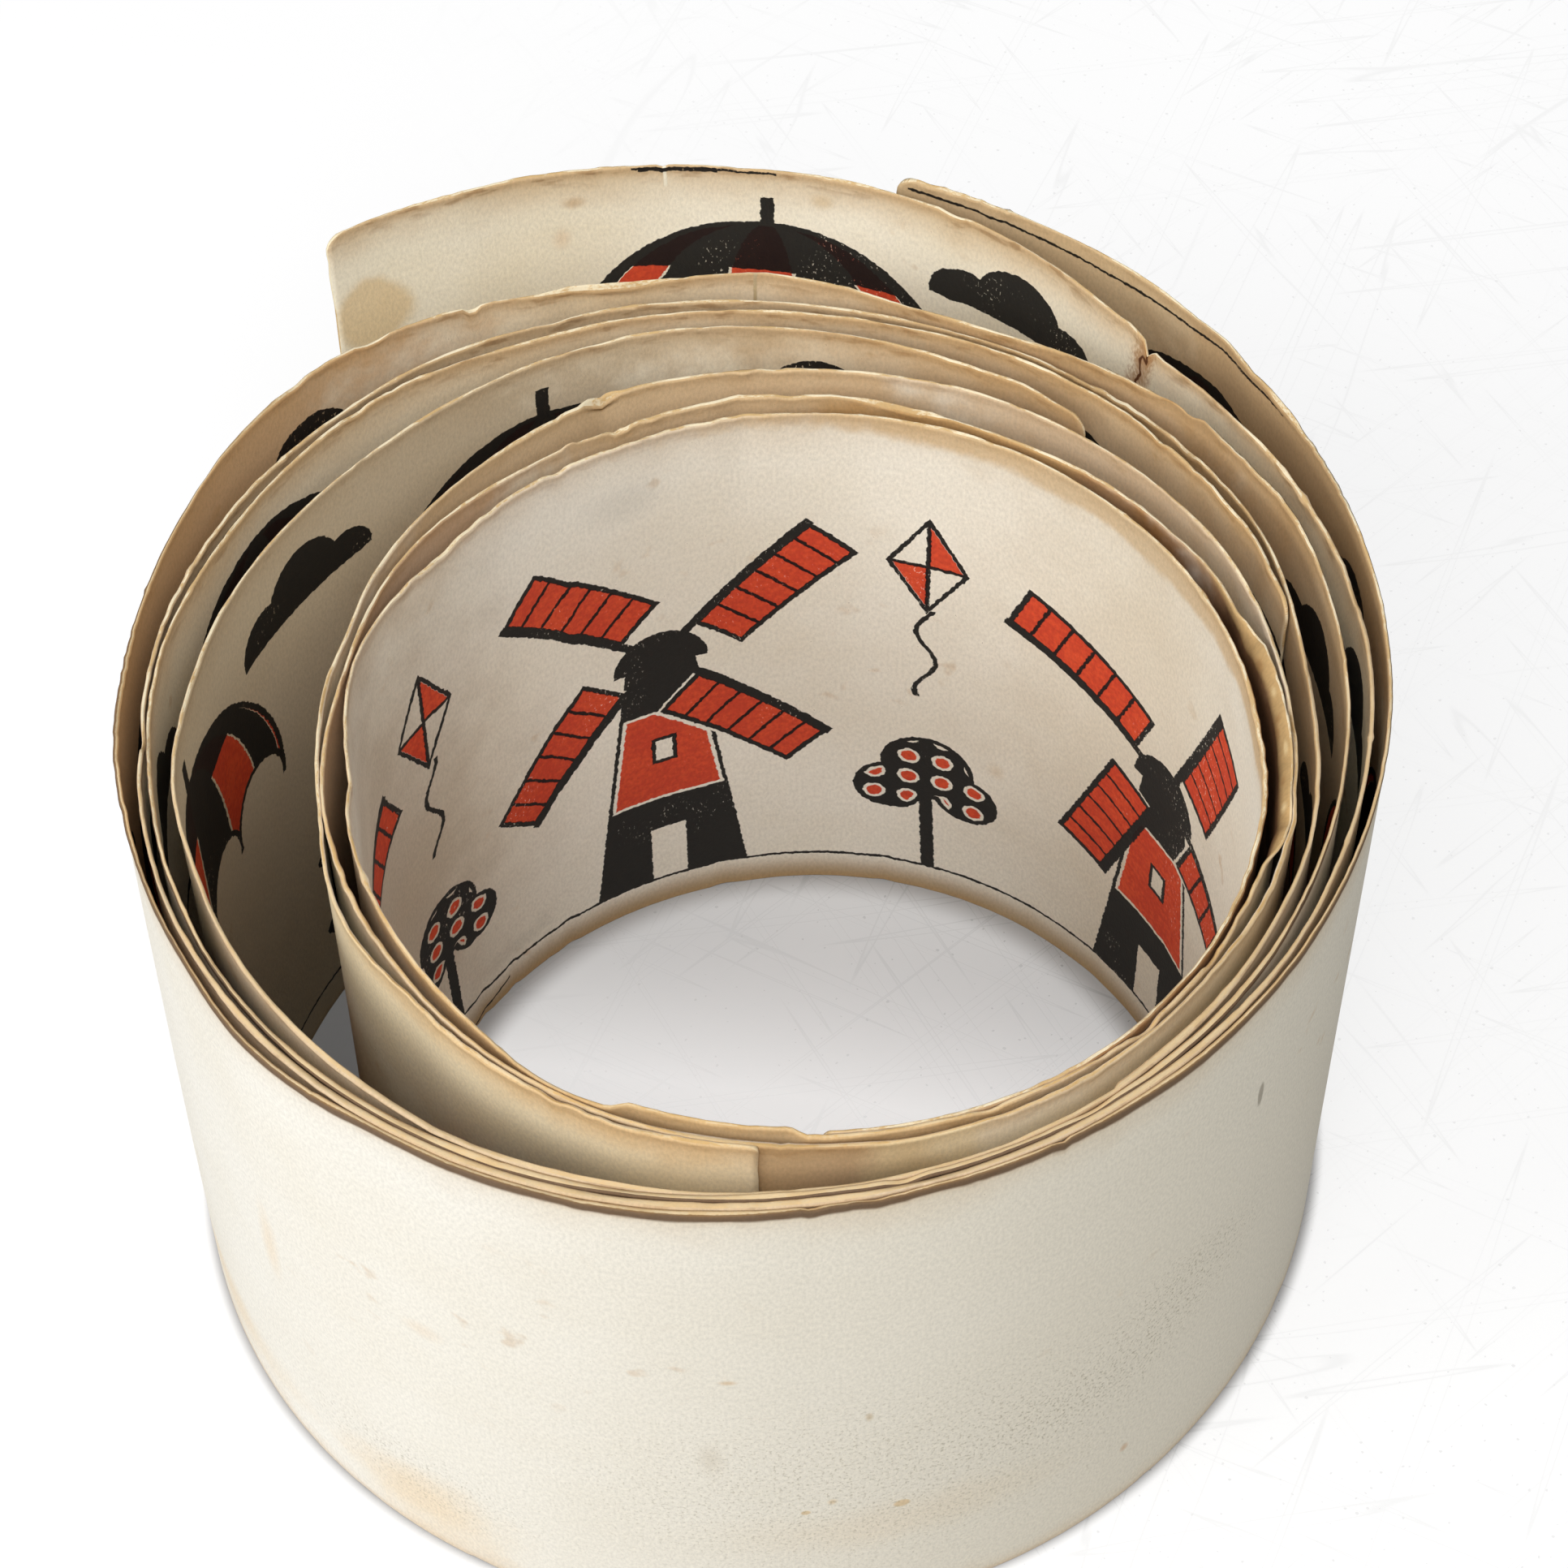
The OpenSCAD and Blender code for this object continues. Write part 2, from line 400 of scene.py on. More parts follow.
def strip_faces(count):
    """The corners of all faces, quads first, then the four triangles, for count columns.
    Also the column and the ring point where each quad round the ring starts."""
    i, k = np.meshgrid(np.arange(count - 1), np.arange(RING), indexing="ij")
    k2 = (k + 1) % RING
    quads = [i * RING + k, i * RING + k2, (i + 1) * RING + k2, (i + 1) * RING + k]
    quads = np.stack(quads, -1).reshape(-1, 4)
    # Both ends are closed by quads across the thickness, and a triangle at each edge
    pair = np.arange(TOP - 1)
    other = RING - 2 - pair
    caps = np.stack([pair, other, other - 1, pair + 1], -1)
    tris = np.array([[TOP - 1, TOP + 1, TOP], [0, LOW, RING - 2]])
    end = (count - 1) * RING
    parts = [quads, caps, caps[:, ::-1] + end, tris, tris[:, ::-1] + end]
    sizes = np.r_[np.full(len(quads) + 2 * len(caps), 4), np.full(4, 3)]
    return np.concatenate([part.ravel() for part in parts]), sizes, i, k


def flat_place(along, corners, k):
    """Where each face's corners lie on the flat strip: u along it, and v up the inside or,
    OUTSIDE_AT further, up the outside. The rims lie next to the inside's edges."""
    t = np.where(SIDE < 0, OUTSIDE_AT + HEIGHT, HEIGHT)
    t_from, t_to = t.copy(), np.roll(t, -1)
    t_from[TOP - 1], t_to[TOP - 1] = STRIP_H, STRIP_H + PAPER_T / 2
    t_from[TOP], t_to[TOP] = STRIP_H + PAPER_T / 2, STRIP_H + PAPER_T
    t_from[LOW - 1], t_to[LOW - 1] = -PAPER_T, -PAPER_T / 2
    t_from[LOW], t_to[LOW] = -PAPER_T / 2, 0.0
    u = along.reshape(-1)[corners]
    around = 4 * k.size
    rest = corners[around:]
    v = np.empty(len(corners))
    v[:around] = np.stack([t_from[k], t_to[k], t_to[k], t_from[k]], -1).ravel()
    v[around:] = HEIGHT[rest % RING]
    wide = np.where(SIDE[rest % RING] < 0, PAPER_T, 0.0)
    u[around:] += np.where(rest < RING, -wide, wide)
    return u, v


def bake_place(s, u, v, corners, i):
    """The same in one square map without overlaps, cut into BAKE_CHUNKS stretches."""
    chunk_len = s[-1] / BAKE_CHUNKS
    mid = np.repeat(0.5 * (s[i] + s[i + 1]).ravel(), 4)
    chunk = np.minimum(mid // chunk_len, BAKE_CHUNKS - 1)
    rest = corners[4 * i.size:]
    chunk = np.r_[chunk, np.where(rest < RING, 0, BAKE_CHUNKS - 1)]
    outside = v > OUTSIDE_AT / 2
    wide, tall = chunk_len + 2 * BAKE_MARGIN, STRIP_H + 2 * BAKE_MARGIN
    bake_u = (outside * wide + BAKE_MARGIN + u - chunk * chunk_len) / (2 * wide)
    bake_v = (chunk * tall + BAKE_MARGIN + v - OUTSIDE_AT * outside) / (BAKE_CHUNKS * tall)
    return bake_u, bake_v


def strip_mesh(name, seed):
    """One strip of worn paper as a closed mesh, with its flat place in the UV map. Its
    materials are numbered 0 for the inside, 1 for the outside and 2 for the cut edges."""
    rng = np.random.default_rng(seed)
    radius = COILS[name][0]
    fine, run = TRACKS[name]
    count = int(run[-1] / COLUMN) + 1
    s = np.linspace(0, run[-1], count)
    ragged, top, low, split = edges(name, rng, s, np.interp(s, run, fine))
    z = heights(rng, s, top, low, split)
    along = places_along(name, rng, s)
    a = np.interp(along, run, fine)
    inwards, outwards = rooms(name, a)
    rough = 0.35 + 0.65 * np.interp(along, s, ragged)
    pressed = sum(ease(2 * (1 - np.abs(a - at) / half)) for at, half in PRESSED[name])
    push = pushes(name, rng, along, a, rough, pressed, inwards, outwards)
    half_t = half_thickness(rng, s, ragged, pressed, inwards, outwards)

    ahead = point(radius, a + 0.5) - point(radius, a - 0.5)
    ahead /= np.linalg.norm(ahead, axis=-1)[..., None]
    inner_way = np.stack([-ahead[..., 1], ahead[..., 0]], -1)
    plan = point(radius, a) + (SIDE * half_t - push)[..., None] * inner_way + AXIS
    verts = np.concatenate([plan, z[..., None]], -1).reshape(-1, 3) * MM

    corners, sizes, i, k = strip_faces(count)
    u, v = flat_place(along, corners, k)
    bake_u, bake_v = bake_place(s, u, v, corners, i)
    ring_wear = np.full(RING, 1)
    ring_wear[: TOP - 1] = 0
    ring_wear[[TOP - 1, TOP, LOW - 1, LOW]] = 2
    wears = np.r_[ring_wear[k.ravel()], np.full(len(sizes) - k.size, 2)]

    mesh = bpy.data.meshes.new(name + "_paper")
    mesh.vertices.add(len(verts))
    mesh.vertices.foreach_set("co", verts.ravel())
    mesh.loops.add(len(corners))
    mesh.loops.foreach_set("vertex_index", corners.astype(np.int32))
    mesh.polygons.add(len(sizes))
    mesh.polygons.foreach_set("loop_start", np.r_[0, np.cumsum(sizes)[:-1]].astype(np.int32))
    mesh.polygons.foreach_set("use_smooth", np.ones(len(sizes), bool))
    mesh.polygons.foreach_set("material_index", wears.astype(np.int32))
    mesh.update(calc_edges=True)
    for label, uu, vv in (("strip", u / UV_MM, v / UV_MM), ("OFBake", bake_u, bake_v)):
        layer = mesh.uv_layers.new(name=label)
        layer.uv.foreach_set("vector", np.stack([uu, vv], -1).astype(np.float32).ravel())
    mesh.validate()
    obj = bpy.data.objects.new(name + "_paper", mesh)
    bpy.context.collection.objects.link(obj)
    return obj


def rgb(r, g, b):
    """A colour as it shows on screen, 0 to 255, as the linear colour that shaders take."""
    def one(c):
        c /= 255
        return c / 12.92 if c <= 0.04045 else ((c + 0.055) / 1.055) ** 2.4
    return (one(r), one(g), one(b), 1.0)


class Value:
    """A number in a material's node tree, with plain arithmetic."""

    def __init__(self, tree, socket):
        self.tree, self.socket = tree, socket

    def op(self, kind, *others):
        node = self.tree.nodes.new("ShaderNodeMath")
        node.operation = kind
        for slot_in, given in zip(node.inputs, (self, *others)):
            if isinstance(given, Value):
                self.tree.links.new(given.socket, slot_in)
            else:
                slot_in.default_value = given
        return Value(self.tree, node.outputs[0])

    def __add__(self, o): return self.op("ADD", o)
    __radd__ = __add__
    def __sub__(self, o): return self.op("SUBTRACT", o)
    def __rsub__(self, o): return self.op("MULTIPLY_ADD", -1.0, o)
    def __mul__(self, o): return self.op("MULTIPLY", o)
    __rmul__ = __mul__
    def __truediv__(self, o): return self.op("DIVIDE", o)
    def __neg__(self): return self.op("MULTIPLY", -1.0)
    def __abs__(self): return self.op("ABSOLUTE")
    def lo(self, o): return self.op("MINIMUM", o)
    def hi(self, o): return self.op("MAXIMUM", o)
    def floor(self): return self.op("FLOOR")
    def mod(self, o): return self.op("FLOORED_MODULO", o)
    def sqrt(self): return self.op("SQRT")
    def sin(self): return self.op("SINE")
    def cos(self): return self.op("COSINE")
    def arcsin(self): return self.op("ARCSINE")
    def arctan(self, o): return self.op("ARCTAN2", o)
    def power(self, o): return self.op("POWER", o)

    def soft(self, low, high):
        """0 at low, 1 at high, smooth between."""
        node = self.tree.nodes.new("ShaderNodeMapRange")
        node.interpolation_type = "SMOOTHSTEP"
        self.tree.links.new(self.socket, node.inputs[0])
        node.inputs[1].default_value, node.inputs[2].default_value = low, high
        return Value(self.tree, node.outputs[0])


def dist(x, y):
    return (x * x + y * y).sqrt()


def box_shape(x, y, cx, cy, hx, hy):
    return (abs(x - cx) - hx).hi(abs(y - cy) - hy)


GRAIN = 0.32  # how much the paper's grain changes its brightness
SPECULAR = 0.3
BUMP_STRENGTH, BUMP_DEPTH = 0.4, 0.0001


class Paper:
    """Builds one paper material over the flat place of a strip."""

    def __init__(self, name):
        self.mat = bpy.data.materials.new(name)
        self.mat.use_nodes = True
        self.tree = self.mat.node_tree
        self.tree.nodes.clear()
        place = self.node("ShaderNodeUVMap")
        place.uv_map = "strip"
        self.uv = place.outputs[0]
        self.s, self.t = (v * UV_MM for v in self.split(self.uv)[:2])

    def node(self, kind):
        return self.tree.nodes.new(kind)

    def link(self, a, b):
        self.tree.links.new(a, b)

    def split(self, vector):
        apart = self.node("ShaderNodeSeparateXYZ")
        self.link(vector, apart.inputs[0])
        return [Value(self.tree, out) for out in apart.outputs]

    def noise(self, size, detail=2.0, rough=0.5, stretch=(1, 1), shift=0.0, parts=1):
        """Noise over the flat strip, with features about size mm across, in 1 or 3 parts."""
        move = self.node("ShaderNodeMapping")
        self.link(self.uv, move.inputs[0])
        move.inputs[1].default_value = (shift, shift * 0.7, 0)
        move.inputs[3].default_value = (UV_MM / size * stretch[0], UV_MM / size * stretch[1], 1)
        tex = self.node("ShaderNodeTexNoise")
        tex.noise_dimensions = "2D"
        self.link(move.outputs[0], tex.inputs["Vector"])
        tex.inputs["Scale"].default_value = 1.0
        tex.inputs["Detail"].default_value = detail
        tex.inputs["Roughness"].default_value = rough
        if parts == 3:
            return self.split(tex.outputs["Color"])
        return Value(self.tree, tex.outputs["Fac"])

    def mix(self, factor, a, b):
        node = self.node("ShaderNodeMix")
        node.data_type = "RGBA"
        for given, at in ((factor, 0), (a, 6), (b, 7)):
            if isinstance(given, Value):
                self.link(given.socket, node.inputs[at])
            elif isinstance(given, bpy.types.NodeSocket):
                self.link(given, node.inputs[at])
            else:
                node.inputs[at].default_value = given
        return node.outputs[2]

    def finish(self, colour, fine, rough, height):
        """The shader: colour with a fine brightness grain, roughness and a bump."""
        bright = self.node("ShaderNodeVectorMath")
        bright.operation = "SCALE"
        self.link(colour, bright.inputs[0])
        self.link(((fine - 0.5) * GRAIN + 1.0).socket, bright.inputs["Scale"])
        shader = self.node("ShaderNodeBsdfPrincipled")
        self.link(bright.outputs[0], shader.inputs["Base Color"])
        self.link(rough.socket, shader.inputs["Roughness"])
        shader.inputs["Specular IOR Level"].default_value = SPECULAR
        bumps = self.node("ShaderNodeBump")
        bumps.inputs["Strength"].default_value = BUMP_STRENGTH
        bumps.inputs["Distance"].default_value = BUMP_DEPTH
        self.link(height.socket, bumps.inputs["Height"])
        self.link(bumps.outputs[0], shader.inputs["Normal"])
        out = self.node("ShaderNodeOutputMaterial")
        self.link(shader.outputs[0], out.inputs[0])
        return self.mat


# The printed pictures, in mm. Each is a shape that is below 0 inside and about the distance
# to its edge elsewhere. x runs from the picture's middle, x2 from the place between two
# pictures, and n and n2 count them, so that each picture is one step on from the last
FRAME_MM = 70.0  # one printed picture to the next
GROUND = 5.2  # height of the printed ground line
SAILS, SWAY = 0.3625, 0.4833  # steps of what turns and what sways, in radians a picture


def cloud(x, y, low):
    """A dark cloud with a flat underside at height low."""
    puffs = (dist(x, y - low - 2.6) - 6.4).lo(dist(x + 7.4, y - low - 0.6) - 4.4)
    return puffs.lo(dist(x - 7.8, y - low - 0.9) - 4.8).hi(low - y)


def windmill(x, y, n, x2, n2):
    """A windmill whose sails turn, with a tree and a kite beside it: black and orange."""
    turn = n * SAILS
    hub = 50.0
    c, s = turn.cos(), turn.sin()
    up = y - hub
    rx = c * x + s * up
    ry = c * up - s * x
    r = dist(rx, ry)
    sector = ry.arctan(rx).mod(math.pi / 2)
    a, b = r * sector.cos(), r * sector.sin()
    panel = box_shape(a, b, 17.5, 4.1, 10.5, 3.6)
    bars = abs((a + 0.2).mod(3.6) - 1.8) - 1.55
    lattice = panel.hi(-bars)
    outline = abs(panel) - 0.38
    spar = (a.lo(b) - 0.65).hi(r - 28.6)
    tower_w = 10.5 - (y - GROUND) * 0.135
    tower = (abs(x) - tower_w).hi(GROUND - y).hi(y - 49.0)
    cap = (dist(x, y - 48.6) - 6.2).hi(48.6 - y)
    band = box_shape(x, y, 0, 31.0, 30, 8.5).hi(tower + 0.9)
    door = (abs(x) - 2.4).hi(y - 16.0).hi(GROUND - y)
    window = (abs(x) - 1.4).hi(abs(y - 32.0) - 2.2)
    body = tower.lo(cap).hi(-band + 0.35).hi(-door).hi(0.75 - panel)
    black = body.lo(outline).lo(spar).lo(lattice).lo(dist(x, y - hub) - 1.9)
    black = black.lo(abs(window) - 0.3)
    sail_fill = panel + 0.25
    orange = sail_fill.lo(band.hi(-window).hi(0.8 - panel) + 0.15)
    # A tree and a kite between two mills
    crown = (dist(x2 - 1.0, y - 26.0) - 6.2).lo(dist(x2 + 4.2, y - 21.5) - 4.4)
    crown = crown.lo(dist(x2 - 6.0, y - 21.0) - 4.6)
    trunk = (abs(x2 - 0.6 - (y - GROUND) * 0.04) - 0.9).hi(y - 21.0).hi(GROUND - y)
    fruit = dist((x2 - 0.5 + 30.0).mod(4.4) - 2.2, (y - 0.6).mod(4.2) - 2.1) - 1.0
    fruit = fruit.hi(crown + 1.2)
    lift = (n2 * SWAY).sin() * 4.0 + 62.0
    sway = x2 - (n2 * SWAY).cos() * 3.0
    kite = abs(sway) * 1.35 + abs(y - lift) * 0.8 - 6.6
    cross = (abs(sway).lo(abs(y - lift)) - 0.3).hi(kite)
    tail = abs(sway - ((y - lift) * 0.55 + n2).sin() * 1.3) - 0.35
    tail = tail.hi(y - lift + 8.0).hi(lift - 25.0 - y)
    black = black.lo(crown.hi(0.45 - fruit)).lo(trunk)
    black = black.lo(abs(kite) - 0.45).lo(cross).lo(tail)
    orange = orange.lo(fruit).lo((kite + 0.5).hi(sway * (y - lift)))
    return black, orange


def parasol(x, y, n, x2, n2):
    """A twirling parasol, with a flower that grows beside it."""
    base = 56.0
    r_top = 25.0
    up = y - base
    dome = dist(x, up) - r_top
    scallop = 6.3 - dist((x + 25.0).mod(12.5) - 6.25, up + 2.0)
    dome = dome.hi(scallop).hi(-3.0 - up)
    half = (r_top * r_top - up * up).hi(4.0).sqrt()
    round_at = (x / half).hi(-1.0).lo(1.0).arcsin()
    gore = (round_at + n * 0.2 + 20.0).mod(math.pi / 3.5) - math.pi / 7
    in_gore = abs(gore) - math.pi / 14
    stick = (abs(x) - 0.85).hi(y - 85.5).hi(18.0 - y)
    hook = (abs(dist(x - 3.2, y - 18.0) - 3.2) - 0.85).hi(y - 18.0)
    black = dome.hi(in_gore * half * 0.9).lo(abs(dome) - 0.4).lo(stick.hi(-dome - 0.2)).lo(hook)
    black = black.lo(stick.hi(81.0 - y)).lo(dome.hi(17.0 - up))
    orange = (dome + 0.35).hi((0.02 - in_gore) * half * 0.9)
    # The flower
    tall = (n2 * SWAY).sin() * 6.0 + 24.0
    way = (y - tall).arctan(x2)
    petals = dist(x2, y - tall) - ((way * 7.0).cos() * 1.1 + 5.2)
    heart = dist(x2, y - tall) - 2.1
    stem = (abs(x2) - 0.55).hi(y - tall + 3.0).hi(GROUND - y)
    leaf = (dist(x2 - 3.4, y - tall * 0.55) - 3.4).hi(dist(x2 - 3.4, y - tall * 0.55 + 2.6) - 3.6)
    leaf2 = (dist(x2 + 3.4, y - tall * 0.4) - 3.4).hi(dist(x2 + 3.4, y - tall * 0.4 + 2.6) - 3.6)
    black = black.lo(heart).lo(stem).lo(leaf).lo(leaf2).lo(abs(petals) - 0.35)
    black = black.lo(cloud(x2 - 2.0, y, 76.0))
    orange = orange.lo((petals + 0.6).hi(0.4 - heart))
    return black, orange


def balloon(x, y, n, x2, n2):
    """A striped balloon that rises and sinks over small fir trees."""
    centre = (n * SWAY).sin() * 2.5 + 62.0
    up = y - centre
    squeeze = up.lo(0.0) * 0.74 + up.hi(0.0)
    round_d = dist(x, squeeze) - 20.5
    bag = round_d.hi(-24.0 - up)
    half = (20.5 * 20.5 - squeeze * squeeze).hi(4.0).sqrt()
    round_at = (x / half).hi(-1.0).lo(1.0).arcsin()
    gore = (round_at + n * 0.15 + 20.0).mod(math.pi / 3) - math.pi / 6
    in_gore = abs(gore) - math.pi / 12
    basket = box_shape(x, up, 0, -37.5, 4.0, 3.2)
    rope = (abs(abs(x) - (up + 34.0) * 0.3 - 3.6) - 0.35).hi(up + 24.0).hi(-34.5 - up)
    stripe = basket.hi(abs(up + 37.5) - 1.0)
    black = bag.hi(in_gore * half * 0.9).lo(abs(bag) - 0.4).lo(rope).lo(bag.hi(14.5 - up))
    black = black.lo(basket.hi(0.3 - stripe))
    orange = (bag + 0.35).hi((0.02 - in_gore) * half * 0.9).lo(stripe + 0.2)
    fir = (abs(x2) - (29.0 - y) * 0.36).hi(14.0 - y)
    fir = fir.lo((abs(x2) - 0.9).hi(y - 15.0).hi(GROUND - y))
    fir2 = (abs(x2 + 8.5) - (22.0 - y) * 0.38).hi(12.5 - y)
    fir2 = fir2.lo((abs(x2 + 8.5) - 0.7).hi(y - 13.0).hi(GROUND - y))
    wing = abs(x2 - 2.0)
    bird = abs(y - 56.0 - (n2 * 1.3).sin() * 2.0 - wing * 0.55 + wing * wing * 0.04) - 0.6
    bird = bird.hi(wing - 8.0)
    black = black.lo(fir).lo(fir2).lo(bird).lo(cloud(x2, y, 75.0))
    orange = orange.lo(dist(x2 - 12.0, y - 12.6) - 3.2)
    black = black.lo(abs(dist(x2 - 12.0, y - 12.6) - 3.4) - 0.35)
    return black, orange


def aged_and_shaded(p, name, z, tones, browning, low=0.0, foxing=0.4, stains_and_painted_shading=(), specks=(), tears=(),
         darker_ramps=(), dark_rim=0.0):
    """Blank paper at height z up a strip: mottled, brown towards both edges, spotted,
    stained and torn, with some patches of painted shade and painted light. Returns its
    colour and three of its noises."""
    fine = p.noise(0.42, 2, 0.6, (1.1, 0.6))
    mid = p.noise(9, 3, 0.6, shift=5.0)
    broad, patch, drift = p.noise(42, 2, 0.5, shift=7.0, parts=3)
    spots = p.noise(4.5, 2, 0.5, shift=13.0)

    def spread(angle, at_z, wide, tall):
        """0 in the middle of a stain or of a patch of painted shade or light, 1 at its edge."""
        return dist((p.s - along_at(name, angle)) * (1.0 / wide), (z - at_z) * (1.0 / tall))

    colour = p.mix((broad - 0.5) * 2.0 + (mid - 0.5) * 0.7 + 0.4, *tones)
    # Tints that grow from one winding angle to another: darker towards the right front on the
    # outer strip's outside
    for from_a, to_a, strength, tint in darker_ramps:
        here = p.s.soft(along_at(name, from_a), along_at(name, to_a))
        colour = p.mix(here * strength, colour, tint)

    # Browning towards both edges, and a darker rim
    to_top = STRIP_H - z
    ragged = (mid - 0.5) * 5.0 + (drift - 0.5) * 5.0
    near_top = 1.0 - (to_top + ragged).soft(-1.5, 8.0)
    near_low = 1.0 - (z + ragged).soft(-1.5, 5.0)
    colour = p.mix(near_top.hi(near_low) * browning, colour, rgb(203, 168, 116))
    if low:
        colour = p.mix((1.0 - z.soft(0.5, 5.6)) * low, colour, rgb(174, 146, 106))
    rim = ((1.0 - to_top.soft(0.1, 2.4)) * 0.6).hi((1.0 - z.soft(0.0, 1.4)) * 0.55)
    colour = p.mix(rim * (mid + 0.2) * (0.4 + browning), colour, rgb(190, 148, 92))

    # Foxing, and dirt along the upper edge
    fox = spots.soft(0.66, 0.8) * patch.soft(0.5, 0.68) * foxing
    colour = p.mix(fox, colour, rgb(194, 152, 96))
    dirt = p.noise(1.5, 2, 0.6, (0.35, 1.0), shift=17.0)
    dirty = dirt.soft(0.5, 0.72) * (1.0 - to_top.soft(0.3, 3.4)) * browning
    colour = p.mix(dirty * 0.75, colour, rgb(146, 106, 62))

    # Stains, specks and tears. Some broad stain patches are painted shade or painted light,
    # where a face lies in shade or catches the light. Weak ones fade out over all of their width
    dots = p.noise(0.52, 3, 0.8, shift=31.0) if specks else fine
    for *place, strength, tint in stains_and_painted_shading:
        soft = 0.75 if strength > 0.5 else 0.1
        stain_and_shading_blot = 1.0 - (spread(*place) + (mid - 0.5) * 0.8).soft(soft, 1.2)
        colour = p.mix(stain_and_shading_blot * strength, colour, tint)
    for *place, strength in specks:
        dense = 1.0 - spread(*place).soft(0.2, 1.0)
        dark = (dots + dense * 0.05).soft(0.59, 0.72) * dense * strength
        colour = p.mix(dark, colour, rgb(140, 128, 98))
    flecks = fine.soft(0.73, 0.8) * patch.soft(0.42, 0.6) * 0.4
    colour = p.mix(flecks, colour, rgb(120, 104, 84))
    for angle, reach, slant, halo, tint in tears:
        wobble = 4.0 if halo else 0.5
        off = p.s - along_at(name, angle) - to_top * (slant / reach) + (mid - 0.5) * wobble
        above = 1.0 - to_top.soft(reach - 0.6, reach)
        if halo:
            glow = (1.0 - (abs(off) + (fine - 0.5) * 3.0).soft(0.0, 2.6)) * above
            colour = p.mix(glow * halo, colour, rgb(176, 122, 66))
        colour = p.mix((1.0 - abs(off).soft(0.12, 0.3)) * above, colour, tint)
    if dark_rim:
        line = 1.0 - (to_top + (mid - 0.5) * 0.8).soft(0.9, 1.5)
        colour = p.mix(line * dark_rim, colour, rgb(94, 66, 38))
    return colour, fine, mid, patch


def printed(name, picture, first_at, print_end, lines=(), **worn):
    """The inside of a strip: a row of pictures on a ground line. Every place is shaken a
    little before the shapes are drawn, so the print has rough edges."""
    p = Paper(name + "_print")
    # The worn look passed in also holds patches of painted shade and painted light
    colour, fine, mid, patch = aged_and_shaded(p, name, p.t, **worn)
    shake, shake_up, thin = p.noise(0.8, 1, 0.6, shift=23.0, parts=3)
    z = p.t + (shake_up - 0.5) * 0.4
    frames = (p.s + (shake - 0.5) * 0.4 + first_at) / FRAME_MM
    n = frames.floor()
    n2 = (frames + 0.5).floor()
    x, x2 = (frames - n - 0.5) * FRAME_MM, (frames - n2) * FRAME_MM
    black, orange = picture(x, z, n, x2, n2)
    black = black.lo(abs(z - GROUND) - 0.24).hi(p.s - print_end)
    orange = orange.hi(p.s - print_end)
    for from_a, from_z, to_a, to_z in lines:
        from_s, to_s = along_at(name, from_a), along_at(name, to_a)
        slope = (to_z - from_z) / (to_s - from_s)
        line = abs(z - from_z - (p.s - from_s) * slope) - 0.2
        black = black.lo(line.hi(from_s - p.s).hi(p.s - to_s))
    holes = fine.soft(0.66, 0.72) * (mid + patch - 0.5).soft(0.55, 0.72)
    ink_orange = (1.0 - orange.soft(-0.08, 0.08)) * (1.0 - holes * 0.5)
    ink_black = (1.0 - black.soft(-0.06, 0.06)) * (1.0 - holes * 0.6)
    orange_tone = p.mix((mid + thin - 0.5).soft(0.25, 0.8), rgb(208, 56, 17), rgb(224, 72, 26))
    colour = p.mix(ink_orange * 0.97, colour, orange_tone)
    colour = p.mix(ink_black * 0.985, colour, rgb(17, 16, 16))
    inked = ink_black.hi(ink_orange * 0.7)
    return p.finish(colour, fine, 0.92 - inked * 0.25, fine * 0.9 + mid * 2.0 + inked * 0.15)


def blank(name, **worn):
    """The outside of a strip, which isn't printed."""
    p = Paper(name + "_back")
    # The worn look passed in also holds patches of painted shade and painted light
    colour, fine, mid, _ = aged_and_shaded(p, name, p.t - OUTSIDE_AT, **worn)
    return p.finish(colour, fine, 0.9 + (fine - 0.5) * 0.1, fine * 0.45 + mid * 2.0)


def cut_edge(name, browned=()):
    """The cut edge of a strip, worn soft and browned along some stretches."""
    p = Paper(name + "_edge")
    fine = p.noise(0.6, 2, 0.6, (1.0, 4.0))
    mid = p.noise(7, 2, 0.6, shift=3.0)
    worn = (mid + (fine - 0.5) * 0.5).soft(0.4, 0.62)
    colour = p.mix(worn, rgb(240, 226, 194), rgb(206, 174, 124))
    for angle, half, strength, tint, outer_half in browned:
        here = 1.0 - abs(p.s - along_at(name, angle) + (mid - 0.5) * 30.0).soft(half * 0.7, half)
        if outer_half:
            here = here * (p.t + (fine - 0.5) * 0.1).soft(90.12, 90.2)
        colour = p.mix(here * strength, colour, tint)
    return p.finish(colour, fine, 0.95 + (fine - 0.5) * 0.08, fine)


TAN = rgb(208, 170, 112)
GREY = rgb(150, 146, 136)
BROWN = rgb(96, 54, 26)
UMBER = rgb(156, 108, 58)
OCHRE = rgb(176, 126, 68)
CREAM = rgb(244, 222, 172)
FOX = rgb(212, 176, 112)
SAND = rgb(212, 184, 140)

# Browned stretches of each strip's cut edge: winding angle, half width in mm, strength,
# colour, and 1 where only the outer half is browned
BROWNED = {
    "inner_strip": [(630, 95, 0.65, TAN, 0), (270, 85, 0.55, TAN, 0),
                    (965, 60, 0.5, TAN, 0)],
    "middle_strip": [(270, 110, 0.8, SAND, 0), (640, 120, 0.8, SAND, 0)],
    "outer_strip": [(270, 110, 0.8, SAND, 0), (600, 150, 0.75, SAND, 0),
                    (595, 135, 0.85, rgb(112, 80, 48), 1)],
}
